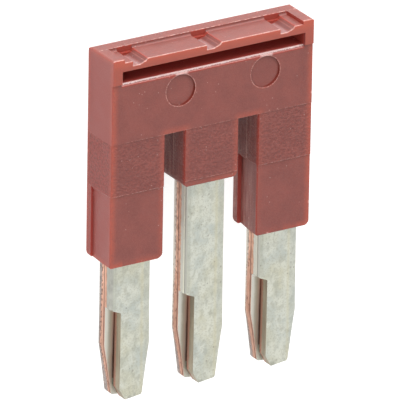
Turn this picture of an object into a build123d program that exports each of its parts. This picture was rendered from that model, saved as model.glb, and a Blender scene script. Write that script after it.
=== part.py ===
from build123d import *
import os

# Three-pole plug-in jumper bar for rail terminal blocks, lying on its back.
# X runs along the row of prongs, +Y towards the head and +Z out of the front face.
# The origin is the centre of the footprint, on the back face. All sizes are in millimetres.
# A drop is a distance below the rim of the head, measured towards the prong tips.

# The row of prongs and the overall size
POLES = 3
PITCH = 5.2
OVERALL_LENGTH = 22.7
DEPTH = 3.0
END_MARGIN = 1.87

# The head and the legs
FORK_DROP = 5.48
INNER_LEG_DROP = 9.3
OUTER_LEG_DROP = 13.57
LEG_GAP = 1.44

# Steps in the front faces where the mould inserts meet
FRAME_DROP = 1.58
FRAME_PROUD = 0.1
INSERT_DROP = 8.9
LEG_SETBACK = 0.03
TOE_SETBACK = 0.08

# Rounded corners and edges of the housing
HEAD_CORNER_R = 0.12
HEAD_BACK_R = 0.3
EDGE_R = 0.07
TOE_SHARP_R = 0.12
TOE_ROUND_R = 0.45
TOE_BACK_R = 0.45
INNER_TOE_SHARP_R = 0.3
INNER_TOE_BACK_R = 0.2

# Slot that takes the screwdriver tip when the bar is levered out
SLOT_DROP = 0.76
SLOT_SIDE_WALL = 0.63
SLOT_BACK_WALL = 0.85
SLOT_LIP = 0.15

# Marking pads on the head, open to the front, and the notches over the prongs
RAIL_DEPTH = 1.05
END_RIM = 0.77
PAD_SINK = 0.22
PAD_ROOT_R = 0.16
NOTCH_SINK = 0.3
NOTCH_WIDTH = 1.07
NOTCH_SLOPE = 0.56
NOTCH_STEP = 0.12
LEDGE_SINK = 0.14
LEDGE_WIDTH = 0.18

# Two shallow round marks of the ejector pins, placed from the middle of the row
EJECTOR_D = 2.05
EJECTOR_SINK = 0.12
EJECTOR_DROP = 2.8
EJECTOR_X = (-2.28, 3.7)

# Wedge-shaped relief down both sides of the outer legs
RELIEF_OUTER_SINK = 0.16
RELIEF_GAP_SINK = 0.27
RELIEF_RAMP = 0.3
RELIEF_STRIP = 0.55

# Stamped comb strip, of which two lie face to face
STRIP = 0.75
PRONG_WIDTH = 2.7
BAR_DROP = 1.98
BAR_HEIGHT = 3.0
COIN_WIDTH = 0.4
COIN_SINK = 0.06
ROLL_R = 0.3

# The cut-back that narrows each prong to a tine, and the tip of the tine
CUTBACK_DROP = 16.65
CUTBACK_FALL = 0.28
CUTBACK_WIDTH = 0.67
CUTBACK_DRIFT = 0.06
CUTBACK_R = 0.1
TAPER_LENGTH = 3.2
TAPER_IN = 0.5
TAPER_BULGE = 0.03
TIP_INNER_WIDTH = 0.35
TIP_INNER_RISE = 0.75
TIP_OUTER_WIDTH = 0.09
TIP_OUTER_RISE = 0.12
TIP_SLANT = 0.13

# The bow that springs each tine away from its twin
SPRING_START = 0.3
SPRING_RUN = 1.9
SPRING_LIFT = 0.02
SPRING_TIP = 0.035

# How far cutting shapes run past the faces they cut
OVERRUN = 1.0

TOP = OVERALL_LENGTH / 2
ROW = (POLES - 1) * PITCH
SIDE = ROW / 2 + END_MARGIN
LEG_HALF = (PITCH - LEG_GAP) / 2
CENTRES = [pole * PITCH - ROW / 2 for pole in range(POLES)]
GAPS = [centre + PITCH / 2 for centre in CENTRES[:-1]]
SPLIT = DEPTH / 2
BODY_FRONT = DEPTH - FRAME_PROUD
LEG_FRONT = BODY_FRONT - LEG_SETBACK
TOE_FRONT = BODY_FRONT - TOE_SETBACK
NOTCH_DROP = PAD_SINK + NOTCH_SINK


def below(drop):
    """Height along Y of a point that lies the given distance below the rim."""
    return TOP - drop


def outline(points, radii=0):
    """Closed flat face with the given corners, each rounded by its own radius."""
    each = radii if isinstance(radii, list) else [radii] * len(points)
    return make_face(FilletPolyline(*points, radius=each, close=True))


def front_view(points, radii=0):
    """Solid with the given outline when looked at from the front, points as (x, drop)."""
    face = outline([(x, below(drop)) for x, drop in points], radii)
    return extrude(face, DEPTH + OVERRUN) + extrude(face, -OVERRUN)


def side_view(points, radii=0, left=-SIDE, right=SIDE):
    """Solid with the given outline when looked at from the side, points as (drop, z)."""
    across = Plane(origin=(left, 0, 0), x_dir=(0, 1, 0), z_dir=(1, 0, 0))
    face = outline([(below(drop), z) for drop, z in points], radii)
    return extrude(across * face, right - left)


def plan_view(points, radii, upper, lower):
    """Solid with the given outline when looked at along the prongs, points as (x, z)."""
    level = Plane(origin=(0, below(upper), 0), x_dir=(1, 0, 0), z_dir=(0, -1, 0))
    return extrude(level * outline(points, radii), lower - upper)


def tier(left, right, upper, lower, front):
    """Length of the housing that one mould insert forms, with its long edges rounded."""
    corners = [(left, 0), (right, 0), (right, front), (left, front)]
    return plan_view(corners, EDGE_R, upper, lower)


def is_outer(pole):
    """Whether a pole is at an end of the row, where the legs are long."""
    return pole in (0, POLES - 1)


def leg_drop(pole):
    """How far below the rim the leg round a pole ends."""
    return OUTER_LEG_DROP if is_outer(pole) else INNER_LEG_DROP


def leg_sides(pole):
    """The two sides of a leg; the outer legs are flush with the side of the body."""
    left = -SIDE if pole == 0 else CENTRES[pole] - LEG_HALF
    right = SIDE if pole == POLES - 1 else CENTRES[pole] + LEG_HALF
    return left, right


def joined_tiers():
    """Body, frame and two lengths of each leg in one piece, square at every end."""
    tiers = [tier(-SIDE, SIDE, 0, FRAME_DROP, DEPTH)]
    for pole in range(POLES):
        left, right = leg_sides(pole)
        tiers.append(tier(left, right, FORK_DROP, INSERT_DROP, LEG_FRONT))
        tiers.append(tier(left, right, INSERT_DROP, leg_drop(pole), TOE_FRONT))
    return tier(-SIDE, SIDE, FRAME_DROP, FORK_DROP, BODY_FRONT) + tiers


def front_rounding():
    """Outline of the whole housing from the front, with rounded head and toe corners."""
    points = [(-SIDE, 0), (SIDE, 0)]
    radii = [HEAD_CORNER_R, HEAD_CORNER_R]
    for pole in reversed(range(POLES)):
        left, right = leg_sides(pole)
        sharp_r = TOE_SHARP_R if is_outer(pole) else INNER_TOE_SHARP_R
        fork = [(right, FORK_DROP)] if pole < POLES - 1 else []
        points += fork + [(right, leg_drop(pole)), (left, leg_drop(pole))]
        radii += [0] * len(fork) + [TOE_ROUND_R, sharp_r]
        if pole > 0:
            points.append((left, FORK_DROP))
            radii.append(0)
    return front_view(points, radii)


def side_rounding():
    """Outline from the side, one length for each pole, with the head and toe edges rounded."""
    walls = [-SIDE - OVERRUN, *GAPS, SIDE + OVERRUN]
    lengths = []
    for pole in range(POLES):
        drop = leg_drop(pole)
        back_r = TOE_BACK_R if is_outer(pole) else INNER_TOE_BACK_R
        edges = [
            (0, 0),
            (drop, 0),
            (drop, TOE_FRONT),
            (INSERT_DROP, TOE_FRONT),
            (INSERT_DROP, DEPTH),
            (0, DEPTH),
        ]
        radii = [HEAD_BACK_R, back_r, EDGE_R, 0, 0, EDGE_R]
        lengths.append(side_view(edges, radii, walls[pole], walls[pole + 1]))
    return lengths[0] + lengths[1:]


def relief(side, inward, sink):
    """Wedge cut from a leg's side: deepest beside the back strip, nothing at the front edge."""
    outside = side - inward * OVERRUN
    deepest = side + inward * sink
    front = TOE_FRONT - EDGE_R
    end = OUTER_LEG_DROP + OVERRUN
    wedge = [(outside, RELIEF_STRIP), (deepest, RELIEF_STRIP), (side, front), (outside, front)]
    ramp = [
        (outside, INSERT_DROP),
        (side, INSERT_DROP),
        (deepest, INSERT_DROP + RELIEF_RAMP),
        (deepest, end),
        (outside, end),
    ]
    return plan_view(wedge, 0, INSERT_DROP, end) & front_view(ramp)


def pry_slot():
    """Blind slot in the frame, with the lip below it chamfered."""
    reach = SIDE - SLOT_SIDE_WALL
    deep = DEPTH + OVERRUN
    mouth = [(SLOT_DROP, SLOT_BACK_WALL), (FRAME_DROP, SLOT_BACK_WALL)]
    lip = [(FRAME_DROP, BODY_FRONT - SLOT_LIP), (FRAME_DROP + SLOT_LIP, BODY_FRONT)]
    rest = [(FRAME_DROP + SLOT_LIP, deep), (SLOT_DROP, deep)]
    return side_view(mouth + lip + rest, 0, -reach, reach)


def head_recess():
    """Everything sunk into the top of the head: the pads and a notch over each prong."""
    reach = SIDE - END_RIM
    deep = DEPTH + OVERRUN
    pads = [(-OVERRUN, RAIL_DEPTH), (PAD_SINK, RAIL_DEPTH), (PAD_SINK, deep), (-OVERRUN, deep)]
    recess = side_view(pads, [0, PAD_ROOT_R, 0, 0], -reach, reach)
    ledge = PAD_SINK + LEDGE_SINK
    start = RAIL_DEPTH + LEDGE_WIDTH
    steps = [(0, RAIL_DEPTH), (ledge, RAIL_DEPTH), (ledge, start), (NOTCH_DROP, start)]
    behind = steps + [(NOTCH_DROP, deep), (0, deep)]
    for centre in CENTRES:
        left = centre - NOTCH_WIDTH / 2
        right = centre + NOTCH_WIDTH / 2
        floor = [(left, 0), (left, NOTCH_DROP), (right - NOTCH_SLOPE, NOTCH_DROP)]
        slope = [(right - NOTCH_STEP, ledge), (right, PAD_SINK), (right, 0)]
        recess += front_view(floor + slope) & side_view(behind)
    return recess


def ejector_marks():
    """Round recesses left in the front of the head by the ejector pins."""
    depth = EJECTOR_SINK + OVERRUN
    middle = BODY_FRONT - EJECTOR_SINK + depth / 2
    disc = Cylinder(EJECTOR_D / 2, depth)
    return [Pos(x, below(EJECTOR_DROP), middle) * disc for x in EJECTOR_X]


def insulating_housing(combs):
    """The one-piece moulded housing, formed round the bars and prongs of both combs."""
    housing = joined_tiers() & front_rounding() & side_rounding()
    housing -= pry_slot()
    housing -= head_recess()
    housing -= ejector_marks()
    for pole in filter(is_outer, range(POLES)):
        left, right = leg_sides(pole)
        housing -= relief(left, 1, RELIEF_OUTER_SINK if pole == 0 else RELIEF_GAP_SINK)
        housing -= relief(right, -1, RELIEF_GAP_SINK if pole == 0 else RELIEF_OUTER_SINK)
    return housing - combs


def stamping_window(centre):
    """Outline that the die leaves of one prong: cut back on the left, tapered on the right."""
    left = centre - PRONG_WIDTH / 2
    right = centre + PRONG_WIDTH / 2
    tine = left + CUTBACK_WIDTH
    taper_end = right - TAPER_IN
    outer_end = OVERALL_LENGTH - TIP_SLANT
    taper_drop = outer_end - TIP_OUTER_RISE - TAPER_LENGTH
    above = below(BAR_DROP - OVERRUN)
    down = FilletPolyline(
        (left - OVERRUN, above),
        (left - OVERRUN, below(CUTBACK_DROP)),
        (left, below(CUTBACK_DROP)),
        (tine, below(CUTBACK_DROP + CUTBACK_FALL)),
        (tine - CUTBACK_DRIFT, below(OVERALL_LENGTH - TIP_INNER_RISE)),
        (tine + TIP_INNER_WIDTH, below(OVERALL_LENGTH)),
        (taper_end - TIP_OUTER_WIDTH, below(outer_end)),
        (taper_end, below(outer_end - TIP_OUTER_RISE)),
        radius=[0, 0, CUTBACK_R, CUTBACK_R, 0, 0],
    )
    taper = SagittaArc(down @ 1, (right, below(taper_drop)), TAPER_BULGE)
    back = Polyline(
        taper @ 1, (right + OVERRUN, below(taper_drop)), (right + OVERRUN, above), down @ 0
    )
    return make_face(down + taper + back)


def prong_blank(centre):
    """Strip with a coined outer edge and a rolled one, swept down the bowed path of a prong."""
    half = PRONG_WIDTH / 2
    level = Plane(origin=(centre, below(BAR_DROP), SPLIT), x_dir=(1, 0, 0), z_dir=(0, -1, 0))
    section = outline(
        [(-half, 0), (half, 0), (half, STRIP - COIN_SINK), (half - COIN_WIDTH, STRIP), (-half, STRIP)],
        [0, 0, 0, 0, ROLL_R],
    )
    start = CUTBACK_DROP - SPRING_START
    swing = Plane(origin=(centre, 0, SPLIT), x_dir=(0, 1, 0), z_dir=(1, 0, 0))
    straight = Line((below(BAR_DROP), 0), (below(start), 0))
    lift = TangentArc((below(start), 0), (below(start + SPRING_RUN), SPRING_LIFT), tangent=(-1, 0))
    back = TangentArc(lift @ 1, (below(OVERALL_LENGTH + STRIP), SPRING_TIP), tangent=lift % 1)
    return sweep(level * section, path=swing * (straight + lift + back))


def comb():
    """Front comb: a bar across all poles with one sprung prong for each."""
    reach = ROW / 2 + PRONG_WIDTH / 2
    bar_end = BAR_DROP + BAR_HEIGHT
    bar = [(BAR_DROP, SPLIT), (bar_end, SPLIT), (bar_end, SPLIT + STRIP), (BAR_DROP, SPLIT + STRIP)]
    strip = side_view(bar, 0, -reach, reach)
    for centre in CENTRES:
        window = extrude(stamping_window(centre), DEPTH + OVERRUN)
        strip += prong_blank(centre) & window
    return strip


front_comb = comb()
# The rear comb is the same stamping, turned half a turn about the bar's long axis of symmetry
rear_comb = Pos(0, 0, SPLIT) * Rot(0, 180, 0) * Pos(0, 0, -SPLIT) * front_comb

parts = {
    "insulating_housing": insulating_housing(front_comb + rear_comb),
    "front_contact_comb": front_comb,
    "rear_contact_comb": rear_comb,
}

os.makedirs("parts", exist_ok=True)
for name, shape in parts.items():
    export_step(shape, f"parts/{name}.step")
    print(name, "volume", round(shape.volume, 2), "size", shape.bounding_box().size)
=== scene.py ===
import math

import bpy
from bpy.props import FloatProperty, FloatVectorProperty, PointerProperty
from mathutils import Matrix, Vector


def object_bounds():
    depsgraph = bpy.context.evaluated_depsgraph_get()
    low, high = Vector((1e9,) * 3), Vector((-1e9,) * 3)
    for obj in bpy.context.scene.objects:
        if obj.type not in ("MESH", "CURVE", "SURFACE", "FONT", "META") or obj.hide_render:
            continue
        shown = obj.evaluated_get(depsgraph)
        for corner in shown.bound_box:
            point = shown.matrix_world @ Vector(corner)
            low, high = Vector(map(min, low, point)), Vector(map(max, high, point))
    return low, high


# Dresses a three-pole plug-in jumper bar for rail terminal blocks: a red moulded housing
# round two tin-plated copper combs. It lies on its back with the prongs towards -Y.

bl_info = {
    "name": "Terminal Jumper Bar",
    "version": (1, 0, 0),
    "blender": (4, 5, 0),
    "location": "View3D > Sidebar > Jumper Bar",
    "description": "Finishes the moulded housing and the plated combs of a jumper bar",
    "category": "Object",
}

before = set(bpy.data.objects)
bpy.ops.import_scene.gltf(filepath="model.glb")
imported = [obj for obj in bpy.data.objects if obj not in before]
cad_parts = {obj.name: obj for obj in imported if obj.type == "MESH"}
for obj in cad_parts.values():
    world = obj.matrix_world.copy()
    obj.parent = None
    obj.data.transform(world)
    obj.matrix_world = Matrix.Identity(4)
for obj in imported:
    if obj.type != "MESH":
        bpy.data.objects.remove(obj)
CAD_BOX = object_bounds()
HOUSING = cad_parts["insulating_housing"]
COMBS = [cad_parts["front_contact_comb"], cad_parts["rear_contact_comb"]]

# Sizes of the moulding in metres, as the solids have them
MM = 0.001
TOP = CAD_BOX[1].y
SIDE = 7.07 * MM
BODY_FRONT = 2.9 * MM
FRAME_FRONT = 3.0 * MM
FRAME_DROP = 1.58 * MM
FORK_DROP = 5.48 * MM
INSERT_DROP = 8.9 * MM
OUTER_LEG_DROP = 13.57 * MM
INNER_LEG_DROP = 9.3 * MM
INNER_LEG_HALF = 1.88 * MM
OUTER_LEG_INNER_SIDE = 3.32 * MM
SLOT_DROP = 0.76 * MM
SLOT_REACH = 6.44 * MM
SLOT_LIP = 0.15 * MM
RAIL_DEPTH = 1.05 * MM
PAD_REACH = 6.30 * MM
PAD_SINK = 0.22 * MM
NOTCH_DROP = 0.52 * MM
NOTCH_HALF = 0.535 * MM
NOTCH_FLOOR = 0.08 * MM
LEDGE_DROP = 0.36 * MM
EJECTOR_R = 1.025 * MM
EJECTOR_DROP = 2.8 * MM
EJECTOR_X = (-2.28 * MM, 3.7 * MM)
RELIEF_STRIP = 0.55 * MM

# Heights above the back at which painted shade and marks on the moulding start and end, and a
# direction
MARK_BACK = 2.6 * MM
SLOT_SHADE = (2.6 * MM, 2.95 * MM)
GAP_SHADE = (1.7 * MM, 2.7 * MM)
GAP_EDGE = (2.55 * MM, 2.70 * MM)
DRAG_FADE = (1.4 * MM, 2.4 * MM)
# direction towards which the ejector marks' painted shade leans
LOWER_RIGHT = (0.78, 0.63)

# Sizes of the stamped combs
SPLIT = 1.5 * MM
STRIP = 0.75 * MM
PITCH = 5.2 * MM
PRONG_HALF = 1.35 * MM
COIN_WIDTH = 0.4 * MM
CUTBACK_DROP = 16.65 * MM

# Drops below the top at which the looks of a prong start and end to change. Far prongs are
# the middle and the right one, and their coined side is bare through these two shares.
# over these drops the copper's painted light near the legs fades out
LEG_GLEAM = (13.5 * MM, 17.5 * MM)
COPPER_WIDENS = (14.5 * MM, 17.0 * MM)
COPPER_WIDENS_FAR = (14.5 * MM, 17.5 * MM)
COIN_COPPER_FAR = (0.60, 0.84)
COPPER_NARROWS = (19.8 * MM, 22.0 * MM)
BOW = (16.4 * MM, 19.5 * MM)
BOW_RISE = 0.045 * MM
FAR_RIM_FADE = (18.5 * MM, 21.0 * MM)
# over these drops the inner face's painted shade fades, and at the next its painted shadow line
# ends
TIP_SHADE = (21.0 * MM, 22.2 * MM)
JUNCTION_SHADE_END = 21.5 * MM
WORN_TIP = (22.25 * MM, 22.6 * MM)

# Stage
FLOOR_REACH = 3.0
LAMP_DISTANCE = 0.5
LAMP_SIZE = 0.35
LAMP_AIM = (0.0, 0.0, SPLIT)
KEY_FROM = (0.20, 1.0, 0.38)
SIDE_FROM = (-1.0, 0.15, 0.75)
VIEW_MIDDLE = (-0.3222 * MM, 0.6801 * MM, 2.1341 * MM)
SENSOR = 36.0


# ---------------------------------------------------------------- node trees

class Field:
    """One output of a node tree that sums, products and limits can be built from."""

    def __init__(self, tree, socket):
        self.tree = tree
        self.socket = socket

    def _math(self, operation, *others):
        node = self.tree.nodes.new("ShaderNodeMath")
        node.operation = operation
        for slot, value in zip(node.inputs, (self, *others)):
            feed(self.tree, slot, value)
        return Field(self.tree, node.outputs[0])

    def __add__(self, other):
        return self._math("ADD", other)

    def __sub__(self, other):
        return self._math("SUBTRACT", other)

    def __rsub__(self, other):
        return (self * -1.0) + other

    def __mul__(self, other):
        return self._math("MULTIPLY", other)

    def __truediv__(self, other):
        return self._math("DIVIDE", other)

    __radd__ = __add__
    __rmul__ = __mul__

    def size(self):
        """Value without its sign."""
        return self._math("ABSOLUTE")

    def rest(self):
        """What is left over above the next lower whole number."""
        return self._math("FRACT")

    def least(self, other):
        return self._math("MINIMUM", other)

    def most(self, other):
        return self._math("MAXIMUM", other)

    def above(self, other):
        """One where this is the larger, else nought."""
        return self._math("GREATER_THAN", other)

    def pick(self, when_one, when_nought):
        """First value where this mask is one, second where it is nought."""
        return self * when_one + (1.0 - self) * when_nought

    def reach(self, other):
        """Length of the hypotenuse of two distances."""
        return (self * self + other * other)._math("SQRT")

    def ramp(self, low, high, to_low=0.0, to_high=1.0):
        """Smooth step that goes from one value to the other between two limits."""
        node = self.tree.nodes.new("ShaderNodeMapRange")
        node.interpolation_type = "SMOOTHSTEP"
        for name, value in (
            ("Value", self), ("From Min", low), ("From Max", high),
            ("To Min", to_low), ("To Max", to_high),
        ):
            feed(self.tree, node.inputs[name], value)
        return Field(self.tree, node.outputs["Result"])

    def line(self, middle, width):
        """Soft stripe round one value: one on it, nought half a width away."""
        return (self - middle).size().ramp(0.0, width / 2, 1.0, 0.0)

    def within(self, low, high, blur):
        """Flat stripe from one value to another with blurred ends."""
        return self.ramp(low, low + blur) * self.ramp(high - blur, high, 1.0, 0.0)


def feed(tree, slot, value):
    """Links a field to a socket, or sets the socket's own value."""
    if isinstance(value, Field):
        tree.links.new(value.socket, slot)
    else:
        slot.default_value = value


def place(tree):
    """Object coordinates in metres, as three fields."""
    coords = tree.nodes.new("ShaderNodeTexCoord")
    split = tree.nodes.new("ShaderNodeSeparateXYZ")
    tree.links.new(coords.outputs["Object"], split.inputs[0])
    return [Field(tree, output) for output in split.outputs]


def facing(tree):
    """The way the flat face points, as three fields."""
    geometry = tree.nodes.new("ShaderNodeNewGeometry")
    split = tree.nodes.new("ShaderNodeSeparateXYZ")
    tree.links.new(geometry.outputs["True Normal"], split.inputs[0])
    return [Field(tree, output) for output in split.outputs]


def blend_colour(tree, share, first, second):
    """Colour that goes from the first to the second as the share goes from nought to one."""
    node = tree.nodes.new("ShaderNodeMix")
    node.data_type = "RGBA"
    feed(tree, node.inputs[0], share)
    for slot, value in ((node.inputs[6], first), (node.inputs[7], second)):
        if isinstance(value, bpy.types.NodeSocket):
            tree.links.new(value, slot)
        else:
            slot.default_value = (*value, 1.0)
    return node.outputs[2]


def layered(tree, ground, *layers):
    """Lays colours over a ground one after the other, each by its own share."""
    for cover, laid in layers:
        ground = blend_colour(tree, cover, ground, laid)
    return ground


def group(name, inputs, outputs):
    """Empty shader node group with named inputs (name, default) and number outputs."""
    tree = bpy.data.node_groups.new(name, "ShaderNodeTree")
    for label, default in inputs:
        socket = tree.interface.new_socket(label, in_out="INPUT", socket_type="NodeSocketFloat")
        socket.default_value = default
    for label in outputs:
        tree.interface.new_socket(label, in_out="OUTPUT", socket_type="NodeSocketFloat")
    entry = tree.nodes.new("NodeGroupInput")
    leave = tree.nodes.new("NodeGroupOutput")
    fields = [Field(tree, entry.outputs[label]) for label, _ in inputs]
    return tree, fields, leave


def use(tree, group_tree, **values):
    """Places a node group in a tree and returns its outputs as fields by name."""
    node = tree.nodes.new("ShaderNodeGroup")
    node.node_tree = group_tree
    for label, value in values.items():
        feed(tree, node.inputs[label.replace("_", " ")], value)
    return {output.name: Field(tree, output) for output in node.outputs}


def grain_group():
    """Noise stretched by three factors: a fine grain, a broad cloud and sparse specks."""
    tree, (along_x, along_y, along_z, fine, broad, specks, speck_size), leave = group(
        "Grain, clouds and specks",
        [("Along X", 1.0), ("Along Y", 1.0), ("Along Z", 1.0), ("Fine", 9000.0),
         ("Broad", 900.0), ("Specks", 2200.0), ("Speck Size", 0.22)],
        ["Grain", "Clouds", "Specks"],
    )
    x, y, z = place(tree)
    join = tree.nodes.new("ShaderNodeCombineXYZ")
    for slot, value in zip(join.inputs, (x * along_x, y * along_y, z * along_z)):
        feed(tree, slot, value)
    for label, scale, detail in (("Grain", fine, 2.0), ("Clouds", broad, 3.0)):
        noise = tree.nodes.new("ShaderNodeTexNoise")
        noise.inputs["Detail"].default_value = detail
        tree.links.new(join.outputs[0], noise.inputs["Vector"])
        feed(tree, noise.inputs["Scale"], scale)
        tree.links.new(noise.outputs["Fac"], leave.inputs[label])
    cells = tree.nodes.new("ShaderNodeTexVoronoi")
    tree.links.new(join.outputs[0], cells.inputs["Vector"])
    feed(tree, cells.inputs["Scale"], specks)
    chance = tree.nodes.new("ShaderNodeSeparateColor")
    tree.links.new(cells.outputs["Color"], chance.inputs[0])
    near = Field(tree, cells.outputs["Distance"]).ramp(speck_size * 0.5, speck_size, 1.0, 0.0)
    rare = Field(tree, chance.outputs[0]).above(0.93)
    tree.links.new((near * rare).socket, leave.inputs["Specks"])
    return tree


def material(name):
    """New node material, its tree and its own Principled shader."""
    made = bpy.data.materials.new(name)
    made.use_nodes = True
    tree = made.node_tree
    return made, tree, tree.nodes["Principled BSDF"]


def bump(tree, shader, height, depth):
    """Raises the surface by the height field times a depth in metres."""
    node = tree.nodes.new("ShaderNodeBump")
    node.inputs["Distance"].default_value = depth
    node.inputs["Strength"].default_value = 1.0
    feed(tree, node.inputs["Height"], height)
    tree.links.new(node.outputs["Normal"], shader.inputs["Normal"])


# ---------------------------------------------------------------- finishes

def place_in_pitch(x):
    """Place across the nearest prong or leg, with nought at its middle."""
    return (x / PITCH + 0.5).rest() * PITCH - PITCH / 2


def edge_distance(x, z, drop):
    """Distance to the nearest edge of the housing along the face that a point lies on.

    The middle one of three distances: to the nearest side, end and face. Below the fork
    the sides are those of the leg, and above it the fork counts as an end from its gaps.
    """
    across = x.size()
    outer = across.above((INNER_LEG_HALF + OUTER_LEG_INNER_SIDE) / 2)
    below = drop.above(FORK_DROP)
    leg_side = outer.pick(
        (across - OUTER_LEG_INNER_SIDE).least(SIDE - across), INNER_LEG_HALF - across
    ).most(0.0)
    side = below.pick(leg_side, (SIDE - across).most(0.0))
    toe = outer.pick(OUTER_LEG_DROP, INNER_LEG_DROP) - drop
    from_gap = (INNER_LEG_HALF - across).most(across - OUTER_LEG_INNER_SIDE).most(0.0)
    fork = from_gap.reach(FORK_DROP - drop)
    end = below.pick(toe, drop.least(fork)).most(0.0)
    face = z.least(BODY_FRONT - z).most(0.0)
    return side.least(end).most(side.most(end).least(face))


def ejector_marks(x, z, drop, dashed):
    """Masks for the ejector marks: pale ring, painted wall shade, scuff at the top, painted shadow
    left of it.
    """
    left, right = EJECTOR_X
    along = x - x.above((left + right) / 2).pick(right, left)
    down = drop - EJECTOR_DROP
    distance = along.reach(down)
    lean = (along * LOWER_RIGHT[0] + down * LOWER_RIGHT[1]) / EJECTOR_R
    outside = distance.above(EJECTOR_R - 0.01 * MM) * (BODY_FRONT - z).size().ramp(
        0.02 * MM, 0.04 * MM, 1.0, 0.0
    )
    ring = outside * distance.line(EJECTOR_R + 0.02 * MM, 0.09 * MM)
    # painted shade on the lower right of each mark's wall
    wall = (
        (BODY_FRONT + 0.01 * MM - z).above(0.0) * z.above(MARK_BACK)
        * (EJECTOR_R + 0.005 * MM - distance).above(0.0)
        * distance.ramp(EJECTOR_R - 0.15 * MM, EJECTOR_R - 0.03 * MM) * lean.ramp(0.45, 0.85)
    )
    scuff = (
        distance.above(EJECTOR_R - 0.07 * MM) * z.above(MARK_BACK)
        * drop.within(FRAME_DROP - 0.01 * MM, FRAME_DROP + 0.26 * MM, 0.05 * MM)
        * along.within(-0.45 * MM, 0.60 * MM, 0.22 * MM) * dashed.ramp(0.0, 1.0, 0.75, 1.0)
    )
    # painted shadow under the lip, left of the scuff
    start = (
        outside * drop.within(FRAME_DROP + 0.10 * MM, FRAME_DROP + 0.37 * MM, 0.10 * MM)
        * along.within(-0.95 * MM, -0.30 * MM, 0.20 * MM)
    )
    return ring, wall, scuff, start


def pad_marks(x, z, ny, drop, ragged):
    """Masks for the head's top: painted highlights, painted root shade, pale notch floors, painted
    groove shade.

    The pads end at the rail and at the end rims, and each has a painted highlight at its front
    edge, as the rail has at its own. Every notch repeats with the pitch of the prongs, so it is
    drawn once in a pitch.
    """
    in_pitch = place_in_pitch(x)
    upward = ny.above(0.6)
    in_pads = (
        (PAD_REACH + 0.03 * MM - x.size()).above(0.0)
        * (NOTCH_DROP + 0.05 * MM - drop).above(0.0)
        * (FRAME_FRONT - 0.03 * MM - z).above(0.0)
    )
    sunk = drop.above(PAD_SINK - 0.03 * MM)
    deep = drop.above(LEDGE_DROP + 0.03 * MM)
    # painted highlights along the pads' front edges and along the rail's edge
    crest = upward * z.within(FRAME_FRONT - 0.14 * MM, FRAME_FRONT + 0.02 * MM, 0.03 * MM)
    rail = upward * (1.0 - sunk) * z.within(RAIL_DEPTH - 0.10 * MM, RAIL_DEPTH, 0.02 * MM)
    notch = in_pitch.size().above(NOTCH_HALF - 0.02 * MM)
    beside = in_pitch.within(NOTCH_HALF - 0.04 * MM, NOTCH_HALF + 0.10 * MM, 0.03 * MM)
    root = sunk * z.within(RAIL_DEPTH - 0.02 * MM, RAIL_DEPTH + 0.10 * MM, 0.03 * MM)
    wall = (1.0 - notch) * z.within(RAIL_DEPTH - 0.02 * MM, RAIL_DEPTH + 0.24 * MM, 0.02 * MM)
    # painted shade on the sloping groove inside each notch
    groove_shade = deep * in_pitch.within(NOTCH_FLOOR, NOTCH_FLOOR + 0.34 * MM, 0.10 * MM)
    end = drop.above(0.03 * MM) * x.size().within(
        PAD_REACH - 0.08 * MM, PAD_REACH + 0.03 * MM, 0.02 * MM
    )
    bright = (crest * ragged.ramp(0.0, 1.0, 0.45, 1.0)).most(rail * ragged)
    # painted shade in the roots, beside the notches, on the rail's wall and at the pads' ends
    red = in_pads * (beside * sunk).most(wall).most(root * 0.8).most(end)
    pale = (
        in_pads * deep * upward * z.ramp(RAIL_DEPTH + 0.15 * MM, RAIL_DEPTH + 0.30 * MM)
        * in_pitch.ramp(NOTCH_FLOOR - 0.06 * MM, NOTCH_FLOOR + 0.02 * MM, 1.0, 0.0)
    )
    return bright, red, pale, in_pads * groove_shade


def slot_marks(x, z, ny, nz, drop, dashed):
    """Masks for the slot: painted shade inside, the torn lip with a painted highlight,
    a painted shadow line below it and painted shade in the corner above.
    """
    across = x.size()
    # painted shade, stronger further into the slot
    inside = (
        drop.within(SLOT_DROP - 0.01 * MM, FRAME_DROP + 0.01 * MM, 0.02 * MM)
        * (SLOT_REACH + 0.02 * MM - across).above(0.0) * z.ramp(*SLOT_SHADE, 1.0, 0.0)
    )
    lip_face = (ny * nz).ramp(0.2, 0.4) * drop.above(FRAME_DROP - 0.05 * MM)
    torn = dashed.ramp(0.0, 1.0, 0.075 * MM, 0.105 * MM)
    lip = lip_face * (drop - FRAME_DROP).ramp(torn - 0.03 * MM, torn, 1.0, 0.0)
    # painted shadow line below the lip
    line = nz.above(0.5).most(lip_face) * (SLOT_REACH - across).above(0.0) * drop.within(
        FRAME_DROP + SLOT_LIP - 0.06 * MM, FRAME_DROP + SLOT_LIP + 0.10 * MM, 0.04 * MM
    )
    # painted shade in the corner above the lip
    corner = (
        (ny * -1.0).above(0.7) * drop.line(FRAME_DROP, 0.06 * MM) * z.above(BODY_FRONT - 0.05 * MM)
    )
    return inside, lip, line, corner


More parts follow.
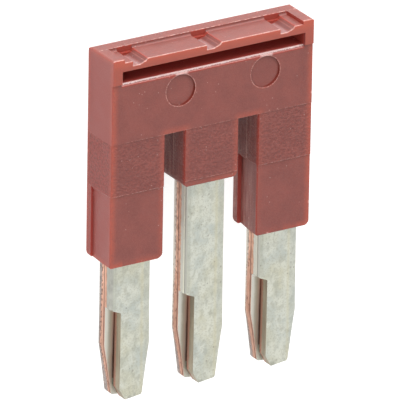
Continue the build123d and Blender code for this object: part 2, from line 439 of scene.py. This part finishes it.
def moulding_material(finish, grain):
    """Matte red polyamide: spark-eroded legs, parting lines and dust, with a painted glow at
    lit-through edges, painted shade in hollows and gaps, and painted highlights on crests and lip.
    """
    made, tree, shader = material("Red moulded polyamide")
    x, y, z = place(tree)
    nx, ny, nz = facing(tree)
    drop = TOP - y
    across = x.size()
    noise = use(tree, grain, Fine=14000.0, Broad=900.0, Specks=5200.0)
    pits = use(tree, grain, Fine=6500.0, Specks=1700.0)
    drag = use(tree, grain, Along_Y=0.12, Broad=3500.0)
    brush = use(tree, grain, Along_Z=0.15, Broad=5000.0)
    ragged = pits["Grain"].ramp(0.42, 0.62)
    dashed = noise["Grain"].ramp(0.40, 0.60)

    # Painted glow of light that soaks in at an edge, shown most on the outer faces that look
    # forward
    near = edge_distance(x, z, drop)
    forward = nz.above(0.5)
    thin = forward.pick(
        near.ramp(0.0, finish.edge_band, 1.0, 0.0),
        near.ramp(0.0, finish.edge_band * 0.8, 1.0, 0.0) * ny.size().above(0.5).pick(0.3, 0.6),
    )
    between = (SIDE - 0.9 * MM - across).above(0.0)
    left_of_leg = (place_in_pitch(x) * -1.0).above(0.0) * drop.above(FORK_DROP)
    soaked = (
        thin * between.pick(left_of_leg.pick(0.15, 0.34), 0.55)
        * pits["Grain"].ramp(0.3, 0.6, 0.7, 1.15)
    )
    frame_face = forward * z.above(FRAME_FRONT - 0.05 * MM)
    # painted glow over the proud frame's face, strongest near its top
    lit_frame = frame_face * drop.ramp(0.15 * MM, 0.70 * MM, 0.80, 0.45)
    upright = nx.size().above(0.7)
    # painted shade on the rounded long edges between sides and front
    turn = (nx * nz).size().ramp(0.10, 0.35)

    # Spark-eroded band, the lines where the mould's inserts met, and the legs' inner sides with
    # their painted shade
    eroded = drop.within(FORK_DROP - 0.04 * MM, INSERT_DROP + 0.04 * MM, 0.08 * MM)
    # the lower parting line is painted paler, to lift the shadow of the small step there
    partings = ragged * drop.line(FORK_DROP, 0.10 * MM).most(
        drop.line(INSERT_DROP, 0.12 * MM) * 1.6
    )
    # painted shade on the step beside the back strip, below the lower parting line
    relief_step_shade = forward * z.line(RELIEF_STRIP, 0.10 * MM) * (drop - INSERT_DROP).above(0.0)
    gap_side = upright * drop.above(FORK_DROP) * (SIDE - 0.5 * MM - across).above(0.0)
    # painted shade on the gap sides, growing towards the front and darker at their front edge
    gap_shade = gap_side * z.ramp(*GAP_SHADE)
    gap_edge_shade = gap_side * z.ramp(*GAP_EDGE)
    gap_grain = gap_side * noise["Grain"].ramp(0.60, 0.75)
    seam = gap_side * z.line(SPLIT, 0.10 * MM) * (INSERT_DROP - drop).above(0.0)
    nicks = pits["Specks"] * near.ramp(0.04 * MM, 0.16 * MM, 1.0, 0.0)

    bright, red, pale, groove_shade = pad_marks(x, z, ny, drop, ragged)
    slot, lip, under_lip_shadow, corner = slot_marks(x, z, ny, nz, drop, dashed)
    ring, mark_wall_shade, scuff, scuff_start_shadow = ejector_marks(x, z, drop, dashed)

    body = blend_colour(tree, noise["Clouds"].ramp(0.25, 0.75), finish.shade, finish.colour)
    skin = layered(
        tree, body,
        (upright * (1.0 - between) * 0.8, finish.flank_colour),
        (noise["Grain"].ramp(0.2, 0.8) * 0.30, finish.pale),
        (ragged * eroded * 0.9, finish.shade),
        # painted glow at lit-through edges and over the frame's face
        (soaked.most(lit_frame), finish.rim_colour),
        # painted shade on the rounded long edges, strongest beside the gaps
        (turn * between.pick(0.9, 0.3), finish.turn_shade_colour),
        (gap_side * drag["Clouds"].ramp(0.35, 0.7) * z.ramp(*DRAG_FADE, 0.24, 0.1),
         finish.scuff_and_highlight_colour),
        # painted shade over the gap sides, most towards their front
        ((gap_side * 0.10).most(gap_shade * 0.45), finish.gap_shade_colour),
        # painted deep red shade inside the slot and on the relief's step
        (slot.most(relief_step_shade * 0.45), finish.slot_shade_colour),
        # darker painted shade on the slot's end walls
        (slot * nx.size().above(0.5) * 0.85, finish.mark_shade_colour),
        # parting lines, the lower one painted paler over its step's shadow
        (partings * forward.pick(0.25, 0.10), finish.scuff_and_highlight_colour),
        (pale * brush["Clouds"].ramp(0.3, 0.7, 0.35, 0.8), finish.notch_colour),
        # painted shade in the notches' grooves
        (groove_shade * 0.7, finish.gap_shade_colour),
        # painted shade in the pads' roots and walls, and in the corner above the slot
        ((red * 0.65).most(corner * 0.8), finish.root_shade_colour),
        # pale parting seam on the gap sides, and painted highlights on the crests and rail
        ((seam * 0.5).most(bright * 0.6), finish.scuff_and_highlight_colour),
        # painted shadow under the lip and beside the ejector scuff, painted shade at the gap
        # sides' front edge
        ((under_lip_shadow * 0.6).most(scuff_start_shadow * 0.6).most(gap_edge_shade * 0.7), finish.root_shade_colour),
        # painted shade on the lower right of the ejector marks' walls
        (mark_wall_shade * 0.95, finish.mark_shade_colour),
        (ring * dashed.ramp(0.0, 1.0, 0.08, 0.45), finish.scuff_and_highlight_colour),
        (nicks * 0.8, finish.scuff_and_highlight_colour),
        # the torn lip's pale flash with a painted highlight, and the smear at the ejector marks
        ((lip * 0.70).most(scuff * 0.6), finish.lip_flash_and_highlight_colour),
        ((noise["Specks"] * gap_side.pick(0.5, 0.28)).most(gap_grain * 0.22), finish.dust_colour),
    )
    tree.links.new(skin, shader.inputs["Base Color"])
    rough = noise["Clouds"].ramp(0.2, 0.8, finish.gloss - 0.06, finish.gloss + 0.06)
    shine = (lip * 0.18).most(bright * 0.2)
    feed(tree, shader.inputs["Roughness"], rough + eroded * 0.12 - shine)
    feed(tree, shader.inputs["Specular IOR Level"], gap_side.pick(0.35, upright.pick(0.42, 0.5)))
    shader.inputs["Subsurface Weight"].default_value = 0.25
    shader.inputs["Subsurface Radius"].default_value = (1.0, 0.35, 0.25)
    shader.inputs["Subsurface Scale"].default_value = 0.35 * MM
    height = noise["Grain"] * 0.35 + (pits["Grain"] - 0.5) * eroded * 2.0
    bump(tree, shader, height, finish.grain_depth)
    return made


def plated_material(finish, grain):
    """Tin plate on the rolled faces, with copper and a tin smear on the stamped edges, and painted
    highlights, shade and dark reflections.
    """
    made, tree, shader = material("Tin-plated copper strip")
    x, y, z = place(tree)
    _, _, nz = facing(tree)
    drop = TOP - y
    flat = nz.size()
    noise = use(tree, grain, Broad=1500.0, Specks=4200.0, Speck_Size=0.34)
    stain = use(tree, grain, Along_Y=0.6, Fine=3200.0, Broad=500.0, Specks=1100.0)
    scratch = use(tree, grain, Along_X=8.0, Along_Y=0.5, Along_Z=4.0, Fine=1500.0, Broad=420.0)
    shear = use(tree, grain, Along_Y=0.7, Fine=8000.0, Broad=3000.0, Specks=7500.0,
                Speck_Size=0.5)

    # Place across a prong, from its rolled edge and from its coined one
    in_pitch = place_in_pitch(x)
    front = (z - SPLIT).above(0.0)
    from_roll = front.pick(PRONG_HALF + in_pitch, PRONG_HALF - in_pitch)
    from_coin = 2 * PRONG_HALF - from_roll
    roll_side = (PRONG_HALF - from_roll).above(0.0)
    coin_side = 1.0 - roll_side
    on_tine = drop.above(CUTBACK_DROP)
    wall = on_tine * roll_side
    inner = front.pick(nz * -1.0, nz).above(0.8)
    cut = flat.ramp(0.78, 0.86, 1.0, 0.0)
    sheared = flat.ramp(0.10, 0.35, 1.0, 0.0)
    first = (x * -1.0).above(PITCH / 2)
    outer_leg = x.size().above(PITCH / 2)
    # painted highlight on the tin just under each leg's toe
    toe_highlight = (drop - outer_leg.pick(OUTER_LEG_DROP, INNER_LEG_DROP)).within(
        0.0, 0.09 * MM, 0.03 * MM
    )

    # Bare copper reaches from the split through a share of the strip's thickness
    through = ((z - SPLIT).size() - drop.ramp(*BOW, 0.0, BOW_RISE)) / STRIP
    coin_copper = first.pick(
        drop.ramp(*COPPER_WIDENS, finish.coin_copper - 0.06, finish.coin_copper + 0.06),
        drop.ramp(*COPPER_WIDENS_FAR, *COIN_COPPER_FAR),
    ) - drop.ramp(*COPPER_NARROWS, 0.0, 0.20)
    share_of_copper = wall.pick(
        finish.wall_copper, roll_side.pick(finish.roll_copper, coin_copper)
    )
    past_copper = through + shear["Grain"].ramp(0.3, 0.7, -0.05, 0.05) - share_of_copper
    torn = past_copper.size().ramp(0.0, 0.22, 1.0, 0.0) * sheared
    bare = sheared * past_copper.ramp(
        roll_side.most(first).pick(-0.04, -0.24), roll_side.pick(0.04, 0.08), 1.0, 0.0
    )
    # on the cut-back's wall, painted shadow in the gap beside the split; on the coined side, a
    # dark line in the copper
    crease = sheared * wall.pick(
        through.ramp(0.04, 0.14, 0.7, 0.0), coin_side * through.line(0.17, 0.24)
    )

    tin = blend_colour(tree, stain["Clouds"].ramp(0.38, 0.62), finish.tin_cool, finish.tin_warm)
    # painted dark reflection where the edge starts to roll over, and a broader, fainter one beside
    # it
    fold = from_roll.line(0.14 * MM, 0.16 * MM).most(
        from_roll.ramp(0.20 * MM, 0.42 * MM, 0.55, 0.0)
    )
    plate = layered(
        tree, tin,
        (noise["Clouds"].ramp(0.35, 0.65) * 0.75, finish.tin_light),
        (stain["Grain"].ramp(0.48, 0.72) * 0.5, finish.tin_dull),
        (noise["Grain"].ramp(0.50, 0.62) * 0.33, finish.tin_freckle),
        (scratch["Grain"].ramp(0.6, 0.8) * 0.22, finish.tin_dull),
        (from_coin.ramp(COIN_WIDTH, COIN_WIDTH + 0.05 * MM, 0.30, 0.0), finish.tin_coined),
        (from_coin.line(COIN_WIDTH + 0.16 * MM, 0.34 * MM) * 0.4, finish.tin_yellow),
        # painted dark reflection beside the rolled edge, above the cut-back
        (fold * (1.0 - on_tine) * 0.75, finish.fold_reflection_and_wear_colour),
        (drop.ramp(*WORN_TIP) * stain["Grain"].ramp(0.35, 0.6) * 0.5, finish.fold_reflection_and_wear_colour),
        # painted highlight under the toes
        (toe_highlight * 0.7, finish.tin_highlight),
        ((noise["Specks"] * 0.35).most(stain["Specks"] * 0.55), finish.stain_colour),
        # inner face seen through the cut-back: painted highlight at its edge, painted shade
        # towards the wall, less near the tip, and a painted shadow line at the wall
        (inner * from_coin.ramp(0.15 * MM, 0.30 * MM, 1.0, 0.35), finish.tin_highlight),
        (inner * from_coin.ramp(0.18 * MM, 0.45 * MM) * drop.ramp(*TIP_SHADE, 1.0, 0.2),
         finish.tin_shaded),
        (inner * from_coin.ramp(0.54 * MM, 0.66 * MM) * (JUNCTION_SHADE_END - drop).above(0.0),
         finish.copper_aged_and_shade),
    )

    # Tin that the punch smeared over an edge, greyer as a painted dark reflection on the roll, and
    # the broken grains beside it
    cloud = shear["Clouds"].ramp(0.3, 0.7)
    rolled = blend_colour(tree, cloud, finish.smear_and_reflection_dark, finish.smear_and_reflection_light)
    broken = blend_colour(tree, shear["Grain"].ramp(0.35, 0.65), finish.broken_dark,
                          finish.broken_light)
    rim = blend_colour(tree, first.most(drop.ramp(*FAR_RIM_FADE)), finish.rim, broken)
    # on the far prongs painted lighter, to cancel the shade that the first prong casts on them
    smear_far_lightened = layered(
        tree, finish.smear_far_lightened,
        (flat.ramp(0.02, 0.15) * outer_leg.pick(0.6, 1.0), finish.tin_light),
        (flat.ramp(0.30, 0.50), finish.smear_and_reflection_light),
    )
    smear = blend_colour(tree, roll_side, rim, blend_colour(tree, first, smear_far_lightened, rolled))
    streaked = blend_colour(tree, scratch["Clouds"].ramp(0.4, 0.6), finish.wall_dark,
                            finish.wall_colour)
    edge = blend_colour(tree, wall, smear, streaked)

    # Copper is painted lighter near the legs to cancel their shade, and shows lighter on the first
    # prong's coined side
    lit_near_leg = drop.ramp(*LEG_GLEAM, 1.0, 0.0) * (1.0 - first.pick(1.0, 0.7) * roll_side)
    lit_copper = blend_colour(tree, lit_near_leg, finish.copper, finish.copper_lightened)
    copper = layered(
        tree, blend_colour(tree, cloud.most(first * coin_side * 0.9), finish.copper_dark, lit_copper),
        (on_tine * scratch["Grain"].ramp(0.45, 0.6) * 0.5, finish.copper_aged_and_shade),
        (wall, finish.copper_aged_and_shade),
        ((shear["Specks"] * 0.7).most(shear["Grain"].ramp(0.55, 0.8) * 0.25),
         finish.copper_aged_and_shade),
    )
    broken_dots = torn * coin_side * shear["Grain"].ramp(0.47, 0.60)
    roll_dots = roll_side * flat.line(0.22, 0.30) * shear["Grain"].ramp(0.62, 0.68)
    coin_dots = shear["Specks"] * coin_side * sheared
    dots = broken_dots.most(roll_dots * 0.35).most(coin_dots * 0.8)
    skin = layered(
        tree, plate,
        (cut, edge),
        (bare, copper),
        (dots * first.pick(0.85, 0.6), finish.dot_and_shade_colour),
        # painted shadow beside the split, and a dark line in the copper
        (crease * 0.85, finish.dot_and_shade_colour),
    )
    tree.links.new(skin, shader.inputs["Base Color"])
    shader.inputs["Metallic"].default_value = 1.0

    # The middle prong's fold is rougher, so that it doesn't mirror the leg beside it
    blunt = roll_side * flat.within(0.05, 0.60, 0.15) * (1.0 - outer_leg)
    rough = noise["Clouds"].ramp(0.2, 0.8, finish.tin_gloss - 0.05, finish.tin_gloss + 0.08)
    feed(tree, shader.inputs["Roughness"], rough + sheared * 0.12 + blunt * 0.30)
    height = noise["Grain"] * 0.4 + stain["Grain"] + scratch["Grain"] * 0.5
    bump(tree, shader, height, finish.tin_depth)
    return made


# ---------------------------------------------------------------- settings

def length(label, text, value):
    return FloatProperty(name=label, description=text, default=value, unit="LENGTH",
                         precision=6, min=0.0)


def colour(label, text, value):
    return FloatVectorProperty(name=label, description=text, default=value, subtype="COLOR",
                               size=3, min=0.0, max=1.0)


def share(label, text, value):
    return FloatProperty(name=label, description=text, default=value, subtype="FACTOR",
                         min=0.0, max=1.0)


class MouldingSettings(bpy.types.PropertyGroup):
    """Finish of the red housing."""
    colour: colour("Colour", "Colour of the moulded housing", (0.197, 0.0525, 0.0420))
    shade: colour("Shade", "Darker drifts in the moulded colour", (0.161, 0.0425, 0.0350))
    flank_colour: colour("Flank", "Colour of the outer sides", (0.235, 0.045, 0.038))
    pale: colour("Pale", "Pale grains in the moulded colour", (0.287, 0.0957, 0.0783))
    # painted glow where light passes through an edge
    rim_colour: colour("Rim", "Colour where light passes through an edge", (0.42, 0.082, 0.046))
    # painted shade on the rounded long edges
    turn_shade_colour: colour("Turn", "Colour of the rounded long edges", (0.20, 0.038, 0.026))
    # painted shade in roots and corners, painted shadow under the lip and at the gaps' front edges
    root_shade_colour: colour("Root", "Colour in the roots of pads and notches", (0.30, 0.030, 0.015))
    notch_colour: colour("Notch", "Pale floors of the notches", (0.32, 0.17, 0.165))
    # painted deep red shade inside the slot and on the relief's step
    slot_shade_colour: colour("Slot", "Colour deep inside the slot", (0.50, 0.050, 0.035))
    # painted shade on the gap sides and in the notches' grooves
    gap_shade_colour: colour("Gap", "Dim colour of gap sides and grooves", (0.115, 0.022, 0.019))
    # painted shade on the ejector marks' walls and the slot's end walls
    mark_shade_colour: colour("Mark", "Dim wall of the ejector marks", (0.155, 0.020, 0.012))
    # scuffs, nicks, parting lines and pale rings, and the painted highlights on crests and rail
    scuff_and_highlight_colour: colour("Scuff", "Pale colour of scuffs and parting lines", (0.66, 0.38, 0.33))
    # pale flash of the torn lip with a painted highlight, and the ejector marks' smear
    lip_flash_and_highlight_colour: colour("Lip", "Colour of the torn lip below the slot", (0.55, 0.40, 0.38))
    dust_colour: colour("Dust", "Colour of the dust specks", (0.70, 0.55, 0.50))
    edge_band: length("Rim width", "How far light reaches in from an edge", 0.55 * MM)
    gloss: share("Roughness", "Roughness of the moulded faces", 0.5)
    grain_depth: length("Grain depth", "Height of the spark-eroded grain", 0.035 * MM)


class PlatingSettings(bpy.types.PropertyGroup):
    """Finish of the stamped combs."""
    tin_warm: colour("Tin, warm", "Warmer patches of the tin plate", (0.74, 0.73, 0.58))
    tin_cool: colour("Tin, cool", "Cooler patches of the tin plate", (0.66, 0.70, 0.64))
    tin_light: colour("Tin, light", "Lighter mottles of the tin plate", (0.84, 0.85, 0.75))
    # painted highlights under the toes and at the inner face's edge
    tin_highlight: colour("Tin, bright", "Brightest places of the tin plate", (0.98, 0.99, 0.92))
    tin_dull: colour("Tin, dull", "Dull mottles and scratches", (0.52, 0.53, 0.45))
    tin_yellow: colour("Tin, yellow", "Yellowish freckles and stripe", (0.74, 0.70, 0.50))
    tin_freckle: colour("Tin, freckles", "Fine dark freckles of the plate", (0.50, 0.49, 0.38))
    tin_coined: colour("Tin, coined", "Plate on the coined edge", (0.60, 0.63, 0.57))
    # painted shade on the inner face beside the wall
    tin_shaded: colour("Tin, hidden", "Plate on the inner face beside a wall", (0.62, 0.60, 0.52))
    stain_colour: colour("Stain", "Dark specks on the tin plate", (0.18, 0.14, 0.11))
    # painted dark reflection where the edge rolls over, also the worn tips' colour
    fold_reflection_and_wear_colour: colour("Fold", "Plate where the edge starts to roll over", (0.40, 0.41, 0.34))
    # tin smear, also a painted dark reflection on the rolled edge
    smear_and_reflection_dark: colour("Smear, dark", "Darker tin smeared over the rolled edge",
                       (0.34, 0.34, 0.305))
    # tin smear, also a painted dark reflection on the rolled edge
    smear_and_reflection_light: colour("Smear, light", "Lighter tin smeared over the rolled edge",
                        (0.43, 0.43, 0.385))
    # painted lighter than the smear, to cancel the shade on the far prongs
    smear_far_lightened: colour("Smear, far", "Tin smeared over the far prongs", (0.58, 0.58, 0.52))
    rim: colour("Rim", "Pale rim of the coined edge on the far prongs", (0.63, 0.58, 0.52))
    broken_dark: colour("Broken, dark", "Darker grains of the broken edge", (0.27, 0.23, 0.215))
    broken_light: colour("Broken, light", "Lighter grains of the broken edge",
                         (0.44, 0.375, 0.345))
    wall_colour: colour("Wall", "Sheared wall of the cut-back", (0.37, 0.32, 0.24))
    wall_dark: colour("Wall, dark", "Darker streaks of the cut-back's wall", (0.28, 0.24, 0.18))
    copper: colour("Copper", "Bare copper on a stamped edge", (0.62, 0.37, 0.275))
    # copper painted lighter near the legs, to cancel their shade
    copper_lightened: colour("Copper, fresh", "Fresh copper near the legs", (0.84, 0.52, 0.39))
    copper_dark: colour("Copper, dark", "Duller patches of the bare copper", (0.50, 0.28, 0.20))
    # aged copper, also the painted shadow line where the inner face meets the wall
    copper_aged_and_shade: colour("Copper, aged", "Aged copper of walls, scratches and dots",
                        (0.40, 0.22, 0.165))
    # dark dots and lines on the copper, and painted shadow beside the split
    dot_and_shade_colour: colour("Crease", "Dark copper beside the split", (0.12, 0.055, 0.04))
    coin_copper: share("Copper, coined side", "Bare share of the first prong's coined side", 0.56)
    roll_copper: share("Copper, rolled side", "Share of the rolled side left bare", 0.22)
    wall_copper: share("Copper, wall", "Share of the cut-back's wall left bare", 0.34)
    tin_gloss: share("Roughness", "Roughness of the tin plate", 0.42)
    tin_depth: length("Plate texture", "Height of the plate's texture", 0.005 * MM)


class StageSettings(bpy.types.PropertyGroup):
    """Floor, light and camera."""
    floor: colour("Floor", "Colour of the floor", (0.50, 0.50, 0.50))
    glow: share("Glow", "Light that the floor gives off by itself", 0.75)
    air: FloatProperty(name="Air", description="Strength of the light from all round",
                       default=0.79, min=0.0)
    key: FloatProperty(name="Key", description="Power of the lamp beyond the head",
                       default=3.4, min=0.0)
    side: FloatProperty(name="Side", description="Power of the lamp on the left",
                        default=1.0, min=0.0)
    distance: length("Distance", "Distance of the camera", 0.8)
    width: length("View width", "Width of the view where the bar lies", 24.2195 * MM)
    yaw: FloatProperty(name="Yaw", description="Turn of the camera to the left of the bar",
                       default=math.radians(31.635), subtype="ANGLE")
    pitch: FloatProperty(name="Pitch", description="Rise of the camera towards the head",
                         default=math.radians(23.001), subtype="ANGLE")
    roll: FloatProperty(name="Roll", description="Turn of the camera about its own axis",
                        default=math.radians(0.947), subtype="ANGLE")


# ---------------------------------------------------------------- operators

class JUMPER_OT_housing(bpy.types.Operator):
    """Give the moulded housing its finish"""
    bl_idname = "jumper.housing"
    bl_label = "Finish Housing"

    def execute(self, context):
        grain = bpy.data.node_groups.get("Grain, clouds and specks") or grain_group()
        HOUSING.material_slots[0].material = moulding_material(
            context.scene.jumper_moulding, grain
        )
        return {"FINISHED"}


class JUMPER_OT_combs(bpy.types.Operator):
    """Give both stamped combs their plating"""
    bl_idname = "jumper.combs"
    bl_label = "Finish Combs"

    def execute(self, context):
        grain = bpy.data.node_groups.get("Grain, clouds and specks") or grain_group()
        plating = plated_material(context.scene.jumper_plating, grain)
        for comb in COMBS:
            comb.material_slots[0].material = plating
        return {"FINISHED"}


def panel_light(name, towards, power):
    """Square lamp that shines on the bar from a direction."""
    data = bpy.data.lights.new(name, "AREA")
    data.size = LAMP_SIZE
    data.energy = power
    lamp = bpy.data.objects.new(name, data)
    back = Vector(towards).normalized()
    lamp.location = Vector(LAMP_AIM) + back * LAMP_DISTANCE
    lamp.rotation_euler = back.to_track_quat("Z", "Y").to_euler()
    bpy.context.scene.collection.objects.link(lamp)


class JUMPER_OT_stage(bpy.types.Operator):
    """Lay out the floor, the lamps and the camera"""
    bl_idname = "jumper.stage"
    bl_label = "Set Stage"

    def execute(self, context):
        stage = context.scene.jumper_stage
        mesh = bpy.data.meshes.new("studio_floor")
        corners = ((-1, -1), (1, -1), (1, 1), (-1, 1))
        mesh.from_pydata(
            [(FLOOR_REACH * a, FLOOR_REACH * b, 0) for a, b in corners], [], [(0, 1, 2, 3)]
        )
        floor = bpy.data.objects.new("studio_floor", mesh)
        context.scene.collection.objects.link(floor)
        paper, _, shader = material("Pale studio paper")
        shader.inputs["Base Color"].default_value = (*stage.floor, 1.0)
        shader.inputs["Roughness"].default_value = 0.9
        shader.inputs["Specular IOR Level"].default_value = 0.1
        shader.inputs["Emission Color"].default_value = (1.0, 1.0, 1.0, 1.0)
        shader.inputs["Emission Strength"].default_value = stage.glow
        mesh.materials.append(paper)

        world = bpy.data.worlds.new("Soft studio")
        world.use_nodes = True
        air = world.node_tree.nodes["Background"]
        air.inputs["Color"].default_value = (1.0, 1.0, 1.0, 1.0)
        air.inputs["Strength"].default_value = stage.air
        context.scene.world = world
        context.scene.view_settings.view_transform = "Standard"
        panel_light("beyond_head", KEY_FROM, stage.key)
        panel_light("left_side", SIDE_FROM, stage.side)

        right = Vector((math.cos(stage.yaw), 0.0, math.sin(stage.yaw)))
        back = Vector((
            -math.sin(stage.yaw) * math.cos(stage.pitch),
            math.sin(stage.pitch),
            math.cos(stage.yaw) * math.cos(stage.pitch),
        ))
        up = back.cross(right)
        turn = Matrix.Rotation(stage.roll, 3, back)
        right, up = turn @ right, turn @ up
        data = bpy.data.cameras.new("product_camera")
        data.sensor_width = SENSOR
        data.lens = SENSOR * stage.distance / stage.width
        data.clip_start = 0.01
        data.clip_end = 10.0
        camera = bpy.data.objects.new("product_camera", data)
        spot = Vector(VIEW_MIDDLE) + back * stage.distance
        camera.matrix_world = Matrix((
            (right.x, up.x, back.x, spot.x),
            (right.y, up.y, back.y, spot.y),
            (right.z, up.z, back.z, spot.z),
            (0.0, 0.0, 0.0, 1.0),
        ))
        context.scene.collection.objects.link(camera)
        context.scene.camera = camera
        return {"FINISHED"}


class JUMPER_PT_panel(bpy.types.Panel):
    bl_label = "Jumper Bar"
    bl_space_type = "VIEW_3D"
    bl_region_type = "UI"
    bl_category = "Jumper Bar"

    def draw(self, context):
        for operator, settings in (
            (JUMPER_OT_housing, context.scene.jumper_moulding),
            (JUMPER_OT_combs, context.scene.jumper_plating),
            (JUMPER_OT_stage, context.scene.jumper_stage),
        ):
            self.layout.operator(operator.bl_idname)
            for name in settings.__annotations__:
                self.layout.prop(settings, name)


CLASSES = (
    MouldingSettings, PlatingSettings, StageSettings,
    JUMPER_OT_housing, JUMPER_OT_combs, JUMPER_OT_stage, JUMPER_PT_panel,
)


def register():
    for cls in CLASSES:
        bpy.utils.register_class(cls)
    bpy.types.Scene.jumper_moulding = PointerProperty(type=MouldingSettings)
    bpy.types.Scene.jumper_plating = PointerProperty(type=PlatingSettings)
    bpy.types.Scene.jumper_stage = PointerProperty(type=StageSettings)


def unregister():
    del bpy.types.Scene.jumper_stage
    del bpy.types.Scene.jumper_plating
    del bpy.types.Scene.jumper_moulding
    for cls in reversed(CLASSES):
        bpy.utils.unregister_class(cls)


def main():
    register()
    bpy.ops.jumper.housing()
    bpy.ops.jumper.combs()
    bpy.ops.jumper.stage()
    bpy.context.view_layer.update()


if __name__ == "__main__":
    main()
